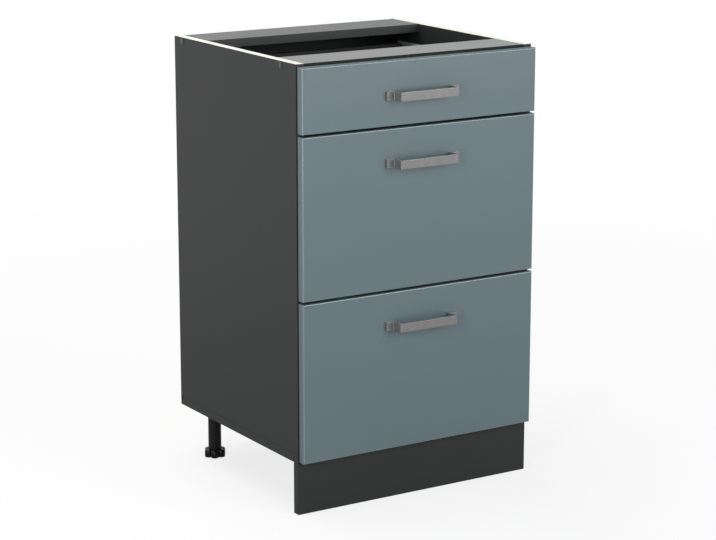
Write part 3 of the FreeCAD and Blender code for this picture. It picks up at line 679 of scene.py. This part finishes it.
def drawerSide(name, side, tier):
    # Two bent strips carried along Y, one hemmed on top, pressed in and turned in below as a ledge for the
    # base, the other its running rail, and an upright flange at each end
    low, high = corners(f"drawer_side_{name}_{tier}")
    baseTop = corners(f"drawer_base_{tier}")[1][2]
    t = sheet["thickness"]
    ledgeTip = min(abs(low[0]), abs(high[0]))
    innerX = ledgeTip + sheet["ledge"]
    wallX = innerX + t / 2
    hemX = innerX + t - sheet["hemWidth"] + t / 2
    top, foot = high[2] - t / 2, low[2] + t / 2
    soft, bend = sheet["hemBend"] + t / 2, sheet["bend"] + t / 2
    head, heel = high[2] - sheet["recessHead"], low[2] + sheet["recessFoot"]
    pressedX, slope = wallX - sheet["recess"], sheet["recessSlope"]
    outline = strip([(hemX, high[2] - sheet["hemDepth"], 0), (hemX, top, soft), (wallX, top, soft),
                     (wallX, head, bend), (pressedX, head - slope, bend), (pressedX, heel + slope, bend),
                     (wallX, heel, bend), (wallX, foot, soft), (ledgeTip, foot, 0)], t)
    shells = [bentSteel(outline, low[1], high[1])]
    railZ = low[2] + sheet["railLift"] + t / 2
    doublerX = innerX + 1.5 * t
    railTip = max(abs(low[0]), abs(high[0]))
    rail = strip([(doublerX, railZ - t / 2 + sheet["doubler"], 0), (doublerX, railZ, bend),
                  (railTip, railZ, 0)], t)
    shells.append(bentSteel(rail, low[1] + sheet["railSetback"], high[1] - sheet["railSetback"]))
    for y in (low[1], high[1] - t):
        shells.append(plate((innerX - sheet["flange"], y, baseTop + 0.5 * mm),
                            (innerX, y + t, high[2] - sheet["hemDepth"] - t)))
    makePiece(f"drawer_side_{name}_{tier}", [onSide(side, made) for made in shells], [sidePaint])


def pickDrawerBase(normals, centres):
    return np.where(np.abs(normals[:, 2]) > 0.7, 0, 1)


def pickDrawerBack(normals, centres):
    return np.where((np.abs(normals[:, 1]) > 0.7) | (normals[:, 2] > 0.5), 0, 1)


for tier in tiers:
    for name, side in sides.items():
        drawerSide(name, side, tier)
    plainBoard(f"drawer_base_{tier}", "x", [drawerBoard, rawBoard], pickDrawerBase, board["cutArris"])
    plainBoard(f"drawer_back_{tier}", "x", [drawerBoard, rawBoard], pickDrawerBack, board["cutArris"])
print("drawer boxes made")


# Runners, rollers and axles

runnerShape = {"notch": 26.5 * mm, "stop": 5.0 * mm, "rollerRadius": 8.5 * mm, "rollerWidth": 7.0 * mm,
               "bore": 2.55 * mm, "pocket": 1.1 * mm}


def runner(name, side, tier):
    # A bent channel carried along Y. Its front end has no upper flange, so that the drawer's roller can come
    # in, and a tab under the flange stops that roller at the end of its travel.
    low, high = corners(f"runner_{name}_{tier}")
    t = sheet["thickness"]
    tip, web = min(abs(low[0]), abs(high[0])), max(abs(low[0]), abs(high[0])) - t / 2
    bottom, top = low[2] + t / 2, high[2] - t / 2
    bend = sheet["bend"] + t / 2
    channel = strip([(tip, top, 0), (web, top, bend), (web, bottom, bend), (tip, bottom, 0)], t)
    mouth = strip([(web, high[2] - t, 0), (web, bottom, bend), (tip, bottom, 0)], t)
    split = low[1] + runnerShape["notch"]
    shells = [bentSteel(channel, split, high[1]), bentSteel(mouth, low[1], split + 0.2 * mm)]
    rollerY = (corners(f"drawer_rollers_{tier}")[0][1] + corners(f"drawer_rollers_{tier}")[1][1]) / 2
    travel = next(j for j in frame["joints"] if j["name"] == f"slide_{tier}")["range_m"][1]
    stopY = rollerY - travel - runnerShape["rollerRadius"] - 0.3 * mm
    shells.append(plate((tip, stopY - t, high[2] - t - runnerShape["stop"]), (web, stopY, high[2] - t / 2)))
    makePiece(f"runner_{name}_{tier}", [onSide(side, made) for made in shells], [runnerPaint])


def rollerShell(centre, side):
    # A nylon wheel: bore, hub, six pockets between ribs, and a crowned rim
    w, r, bore = runnerShape["rollerWidth"] / 2, runnerShape["rollerRadius"], runnerShape["bore"]
    half = [(bore + 0.3 * mm, w), (4.2 * mm, w), (4.5 * mm, w), (5.0 * mm, w), (6.4 * mm, w), (6.9 * mm, w),
            (7.3 * mm, w), (r - 0.6 * mm, w), (r - 0.25 * mm, w - 0.15 * mm), (r - 0.06 * mm, w - 0.5 * mm),
            (r, w - 1.2 * mm)]
    rows = np.array([(bore, -w), (bore, w)] + half + [(r, 0)] + [(radius, -x) for radius, x in half[::-1]])
    count = 60
    angle = np.arange(count) * 2 * math.pi / count
    between = np.clip((1 - np.abs(np.cos(3 * angle)) ** 6 - 0.25) / 0.5, 0, 1)
    deep = ((rows[:, 0] > 4.4 * mm) & (rows[:, 0] < 7.0 * mm)).astype(float)
    sunk = rows[:, 1:] - np.sign(rows[:, 1:]) * runnerShape["pocket"] * deep[:, None] * between[None]
    return turned(rows[:, :1], sunk, centre, (side, 0, 0), count, True)


def rollers(node):
    # The pair of wheels at the two ends of the node's box
    low, high = corners(node)
    centre = (low + high) / 2
    x = high[0] - runnerShape["rollerWidth"] / 2
    makePiece(node, [rollerShell((side * x, centre[1], centre[2]), side) for side in (-1, 1)], [nylon])


for tier in tiers:
    for name, side in sides.items():
        runner(name, side, tier)
    rollers(f"drawer_rollers_{tier}")
    rollers(f"cabinet_rollers_{tier}")
print("runners and rollers made")


# Legs, feet and plinth clips

foot = {"lobeRadius": 7.5 * mm, "lobes": 6, "tall": 15.0 * mm, "shoulder": 4.0 * mm, "stem": 6.0 * mm,
        "thread": 0.7 * mm, "pitch": 3.0 * mm}


def lobedRadius(angle, circle, lobe, count):
    # Where a ray from the centre leaves the nearest round lobe: c*cos(a) + sqrt(r*r - (c*sin(a))**2)
    off = (angle + math.pi / count) % (2 * math.pi / count) - math.pi / count
    return circle * np.cos(off) + np.sqrt(np.maximum(lobe ** 2 - (circle * np.sin(off)) ** 2, 0))


def footPiece(node):
    # Rings of a lobed disc, drawn in at its rounded edges, that narrow to a stem with a thread: the stem's
    # radius is less by the thread's depth, but for a crest where height / pitch - angle / turn is near 0.5
    low, high = corners(node)
    centre = ((low[0] + high[0]) / 2, (low[1] + high[1]) / 2, 0)
    reach = (high[0] - low[0]) / 2
    count = 96
    angle = np.arange(count) * 2 * math.pi / count
    lobed = lobedRadius(angle, reach - foot["lobeRadius"], foot["lobeRadius"], foot["lobes"])
    tall = foot["tall"]
    rise = np.linspace(0, math.pi / 2, 7)
    shoulder = foot["shoulder"]
    rows = [(2.6 * mm, 0), (2.0 * mm, 0), (1.0 * mm, 0.27 * mm), (0.27 * mm, 1.0 * mm), (0, 2.0 * mm),
            (0, tall - shoulder - 1 * mm)]
    rows += [(shoulder * (1 - math.cos(a)), tall - shoulder + shoulder * math.sin(a)) for a in rise]
    drawn, height = np.array(rows).T
    disc = lobed[None] - drawn[:, None]
    disc[0] = lobed * 0.7
    waist = np.linspace(0, 1, 4)[1:, None]
    neck = disc[-1] * (1 - waist) + 7.2 * mm * waist
    radius = np.vstack([disc, neck])
    height = np.concatenate([height, np.full(len(neck), tall)])
    turns = np.arange(tall + 0.3 * mm, high[2] - 1.2 * mm, foot["pitch"] / 10)
    phase = (turns[:, None] / foot["pitch"] - angle[None] / (2 * math.pi)) % 1
    crest = np.clip((0.5 - np.abs(phase - 0.5)) * 4 - 0.4, 0, 1)
    fade = np.clip(np.minimum(turns - tall, high[2] - 1.2 * mm - turns) / (2 * mm), 0, 1)[:, None]
    stem = foot["stem"] - foot["thread"] * (1 - crest * fade)
    radius = np.vstack([radius, np.full((1, count), foot["stem"] - foot["thread"]), stem,
                        np.full((1, count), foot["stem"] - foot["thread"] - 0.1 * mm),
                        np.full((1, count), foot["stem"] - foot["thread"] - 0.8 * mm)])
    height = np.concatenate([height, [tall + 0.1 * mm], turns, [high[2] - 0.6 * mm, high[2]]])
    made = turned(radius, height[:, None], centre, (0, 0, 1), count)
    makePiece(node, [made], [blackPlastic], sharpAngle=50)


for name in ("front_left", "front_right", "rear_left", "rear_right"):
    footPiece(f"foot_{name}")
print("feet made")


# Cover caps and bumpers

def domed(radius, rise, stem, stemLength):
    # A cap with an elliptical crown over a short stem
    angle = np.linspace(0, math.pi / 2, 9)[:-1]
    below = [(stem * 0.3, -stemLength), (stem * 0.9, -stemLength), (stem, 0.3 * mm - stemLength),
             (stem, -0.2 * mm), (stem, 0), (radius - 0.3 * mm, 0), (radius - 0.05 * mm, 0.1 * mm)]
    crown = [(radius * math.cos(a), rise * 0.35 + rise * 0.65 * math.sin(a)) for a in angle]
    return below + crown + [(radius * 0.03, rise)]


capShape = {"stem": 2.1 * mm, "stemLength": 3.2 * mm}
bumperShape = {"radius": 4.0 * mm, "tall": 1.5 * mm, "inset": 20.0 * mm}


def screwCaps(node):
    # One cap at each corner of the node's box, seated on the outer faces of the sides
    low, high = corners(node)
    half = corners("side_panel_right")[1][0]
    radius = (high[2] - low[2]) / 2
    profile = domed(radius, high[0] - half, capShape["stem"], capShape["stemLength"])
    z = (low[2] + high[2]) / 2
    made = [spun(profile, (side * half, y, z), (side, 0, 0), 40)
            for side in (-1, 1) for y in (low[1] + radius, high[1] - radius)]
    makePiece(node, made, [capPlastic], sharpAngle=45)


def bumpers(node):
    # Low domes near the upper and lower corners of each front
    low, high = corners(node)
    radius, tall, inset = bumperShape["radius"], bumperShape["tall"], bumperShape["inset"]
    x = high[0] - radius
    places = []
    for tier in tiers:
        frontLow, frontHigh = corners(f"drawer_front_{tier}")
        places += [frontLow[2] + inset, frontHigh[2] - inset]
    profile = [(0.2 * mm, 0), (radius - 0.2 * mm, 0), (radius, 0.2 * mm), (radius - 0.1 * mm, 0.7 * mm),
               (radius - 0.5 * mm, 1.15 * mm), (radius - 1.2 * mm, 1.4 * mm), (radius - 2.2 * mm, tall),
               (0.2 * mm, tall)]
    makePiece(node, [spun(profile, (side * x, high[1], z), (0, -1, 0), 24)
                     for side in (-1, 1) for z in places], [padPlastic])


screwCaps("screw_caps")
bumpers("front_bumpers")
print("caps and bumpers made")


# CAD nodes that keep their own shape

keptFinishes = {"carcass_screws": zinc, "wood_dowels": dowelWood, "leg_screws": zinc, "runner_screws": zinc,
                "cabinet_axles": zinc, "plinth_clips": blackPlastic, "leg_columns": blackPlastic}
for tier in tiers:
    for kind in ("handle_screws", "drawer_screws", "drawer_axles"):
        keptFinishes[f"{kind}_{tier}"] = zinc
for node, finish in keptFinishes.items():
    frame["nodes"][node].data.materials.clear()
    frame["nodes"][node].data.materials.append(finish)


# Camera, at the photograph's angle: it looks down a little and isn't shifted

camera = {"azimuth": -32.09, "elevation": 13.33, "distance": 4.300, "lens": 115.38,
          "aim": (-0.0154, -0.0278, 0.3890)}
viewer = bpy.data.objects.new("viewer", bpy.data.cameras.new("viewer"))
bpy.context.scene.collection.objects.link(viewer)
azimuth, elevation = math.radians(camera["azimuth"]), math.radians(camera["elevation"])
back = Vector((math.sin(azimuth) * math.cos(elevation), -math.cos(azimuth) * math.cos(elevation),
               math.sin(elevation)))
viewer.location = Vector(camera["aim"]) + back * camera["distance"]
viewer.rotation_euler = (-back).to_track_quat("-Z", "Y").to_euler()
viewer.data.lens = camera["lens"]
viewer.data.sensor_width = 36
viewer.data.clip_start, viewer.data.clip_end = 0.05, 200
bpy.context.scene.camera = viewer


# Studio: white surround, soft lamps, pale floor

studio = {"world": 0.18, "floorTone": 0.45, "floorSeen": 0.95, "floorReach": 60.0, "shadowSeen": 0.20,
          "shadowMirrored": 0.75, "shadowReach": 3.0}
lamps = {"rightSoftbox": {"at": (1.5, -3.3, 1.5), "to": (0, 0, 0.42), "size": (2.4, 2.0), "watts": 70},
         "leftStrip": {"at": (-2.1, -1.8, 1.16), "to": (-0.2, -0.2, 1.0), "size": (0.32, 2.2), "watts": 29},
         "topSoftbox": {"at": (-0.55, 0.6, 2.9), "to": (0, 0, 0.4), "size": (2.4, 2.0), "watts": 52},
         "rearSoftbox": {"at": (0, 2.7, 3.1), "to": (0, 0.2, 0.4), "size": (1.6, 1.2), "watts": 26}}


def surround():
    world = bpy.data.worlds.new("surround")
    bpy.context.scene.world = world
    world.use_nodes = True
    tree = world.node_tree
    tree.nodes.clear()
    light = addNode(tree, "ShaderNodeBackground", {}, {"Color": (1, 1, 1, 1), "Strength": studio["world"]})
    shown = addNode(tree, "ShaderNodeBackground", {}, {"Color": (1, 1, 1, 1), "Strength": 1.0})
    seen, mirrored = rayKinds(tree)
    both = addNode(tree, "ShaderNodeMixShader", {}, {0: seen + mirrored, 1: light, 2: shown})
    addNode(tree, "ShaderNodeOutputWorld", {}, {"Surface": both})


def rayKinds(tree):
    # Whether a ray comes from the camera, and whether it is a mirrored or passed one
    seen = addNode(tree, "ShaderNodeLightPath", {}, {}, "Is Camera Ray")
    glossy = addNode(tree, "ShaderNodeLightPath", {}, {}, "Is Glossy Ray")
    through = addNode(tree, "ShaderNodeLightPath", {}, {}, "Is Transmission Ray")
    return seen, glossy.math("MAXIMUM", glossy, through)


def floor():
    # White where it is looked at, with a light shadow kept under the object: a camera ray meets a paler floor
    # than the light does, so that the floor throws little light up and still looks white
    mesh = bpy.data.meshes.new("floor")
    reach = studio["floorReach"]
    mesh.from_pydata([(-reach, -reach, 0), (reach, -reach, 0), (reach, reach, 0), (-reach, reach, 0)], [],
                     [(0, 1, 2, 3)])
    plane = bpy.data.objects.new("floor", mesh)
    bpy.context.scene.collection.objects.link(plane)
    made = Finish("paleFloor")
    seen, mirrored = rayKinds(made.tree)
    paler = studio["floorSeen"] - studio["floorTone"]
    tone = studio["floorTone"] + made.noise(0.8, 2) * 0.01 + seen * paler
    pale = made.add("ShaderNodeBsdfDiffuse", {}, {"Color": made.shaded((1, 1, 1), tone)})
    white = made.add("ShaderNodeEmission", {}, {"Color": (1, 1, 1, 1), "Strength": 1.0})
    away = made.add("ShaderNodeVectorMath", {"operation": "LENGTH"}, {0: made.at}, "Value")
    near = made.add("ShaderNodeMapRange", {"interpolation_type": "SMOOTHSTEP"},
                    {"Value": away, "From Min": 0.3, "From Max": studio["shadowReach"],
                     "To Min": 1.0, "To Max": 0.0})
    shown = seen * (1 - near * studio["shadowSeen"]) + mirrored * (1 - near * studio["shadowMirrored"])
    both = made.add("ShaderNodeMixShader", {}, {0: shown, 1: pale, 2: white})
    made.add("ShaderNodeOutputMaterial", {}, {"Surface": both})
    mesh.materials.append(made.material)


def softbox(name, lamp):
    light = bpy.data.lights.new(name, "AREA")
    light.shape = "RECTANGLE"
    light.size, light.size_y = lamp["size"]
    light.energy = lamp["watts"]
    thing = bpy.data.objects.new(name, light)
    bpy.context.scene.collection.objects.link(thing)
    thing.location = lamp["at"]
    thing.rotation_euler = (Vector(lamp["to"]) - Vector(lamp["at"])).to_track_quat("-Z", "Y").to_euler()
    thing.visible_camera = False


surround()
floor()
for name, lamp in lamps.items():
    softbox(name, lamp)
bpy.context.scene.view_settings.view_transform = "Standard"
print("camera and studio set")
